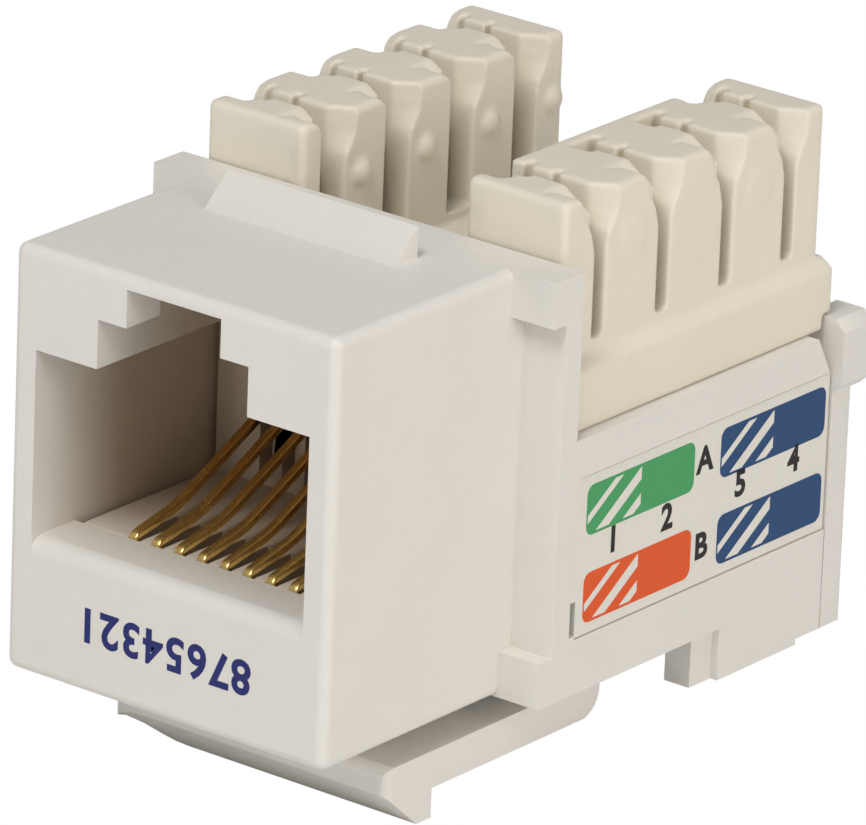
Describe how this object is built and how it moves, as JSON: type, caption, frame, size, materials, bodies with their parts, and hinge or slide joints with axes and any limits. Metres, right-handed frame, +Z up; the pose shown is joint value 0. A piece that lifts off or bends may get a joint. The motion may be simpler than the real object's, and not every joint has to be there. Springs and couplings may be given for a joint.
{
  "type": "keystone jack",
  "caption": "Modular wall-plate socket: stepped plug opening with spring contacts in front, two rows of slotted punch-down towers on top, spring latch below.",
  "frame": {"origin": "middle of the bounding box across X and Y, level with the tooth of the spring latch", "axes": "+X right across the front face, +Y from the front face into the jack, +Z up towards the punch-down towers"},
  "size_m": [0.0186, 0.0278, 0.0215],
  "materials": {
    "white_plastic": "moulded, fine satin",
    "cream_plastic": "moulded, fine satin, slightly warmer",
    "contact_gold": "gold-plated phosphor bronze",
    "blade_tin": "tin-plated bronze",
    "board_green": "solder mask",
    "label_paper": "printed sticker"
  },
  "bodies": {
    "jack": {"front_housing": "white_plastic", "contact_insert": "white_plastic", "rear_cover": "white_plastic", "idc_block": "cream_plastic", "circuit_board": "board_green", "label_left": "label_paper", "label_right": "label_paper", "contact_tail_1": "contact_gold", "idc_blade_1": "blade_tin", "contact_tail_2": "contact_gold", "idc_blade_2": "blade_tin", "contact_tail_3": "contact_gold", "idc_blade_3": "blade_tin", "contact_tail_4": "contact_gold", "idc_blade_4": "blade_tin", "contact_tail_5": "contact_gold", "idc_blade_5": "blade_tin", "contact_tail_6": "contact_gold", "idc_blade_6": "blade_tin", "contact_tail_7": "contact_gold", "idc_blade_7": "blade_tin", "contact_tail_8": "contact_gold", "idc_blade_8": "blade_tin"},
    "latch": {"latch_arm": "white_plastic"},
    "spring_1": {"contact_1": "contact_gold"},
    "spring_2": {"contact_2": "contact_gold"},
    "spring_3": {"contact_3": "contact_gold"},
    "spring_4": {"contact_4": "contact_gold"},
    "spring_5": {"contact_5": "contact_gold"},
    "spring_6": {"contact_6": "contact_gold"},
    "spring_7": {"contact_7": "contact_gold"},
    "spring_8": {"contact_8": "contact_gold"}
  },
  "joints": [
    {"name": "latch_flex", "type": "hinge", "parent": "jack", "child": "latch", "pos_m": [0, 0.00047, 0.0018], "axis": [-1, 0, 0], "range_deg": [0, 5.5], "stiffness_Nm_per_rad": 0.06},
    {"name": "contact_1_flex", "type": "hinge", "parent": "jack", "child": "spring_1", "pos_m": [-0.00356, -0.01137, 0.00805], "axis": [-1, 0, 0], "range_deg": [0, 8], "stiffness_Nm_per_rad": 0.03},
    {"name": "contact_2_flex", "type": "hinge", "parent": "jack", "child": "spring_2", "pos_m": [-0.00254, -0.01137, 0.00805], "axis": [-1, 0, 0], "range_deg": [0, 8], "stiffness_Nm_per_rad": 0.03},
    {"name": "contact_3_flex", "type": "hinge", "parent": "jack", "child": "spring_3", "pos_m": [-0.00152, -0.01137, 0.00805], "axis": [-1, 0, 0], "range_deg": [0, 8], "stiffness_Nm_per_rad": 0.03},
    {"name": "contact_4_flex", "type": "hinge", "parent": "jack", "child": "spring_4", "pos_m": [-0.00051, -0.01137, 0.00805], "axis": [-1, 0, 0], "range_deg": [0, 8], "stiffness_Nm_per_rad": 0.03},
    {"name": "contact_5_flex", "type": "hinge", "parent": "jack", "child": "spring_5", "pos_m": [0.00051, -0.01137, 0.00805], "axis": [-1, 0, 0], "range_deg": [0, 8], "stiffness_Nm_per_rad": 0.03},
    {"name": "contact_6_flex", "type": "hinge", "parent": "jack", "child": "spring_6", "pos_m": [0.00152, -0.01137, 0.00805], "axis": [-1, 0, 0], "range_deg": [0, 8], "stiffness_Nm_per_rad": 0.03},
    {"name": "contact_7_flex", "type": "hinge", "parent": "jack", "child": "spring_7", "pos_m": [0.00254, -0.01137, 0.00805], "axis": [-1, 0, 0], "range_deg": [0, 8], "stiffness_Nm_per_rad": 0.03},
    {"name": "contact_8_flex", "type": "hinge", "parent": "jack", "child": "spring_8", "pos_m": [0.00356, -0.01137, 0.00805], "axis": [-1, 0, 0], "range_deg": [0, 8], "stiffness_Nm_per_rad": 0.03}
  ]
}
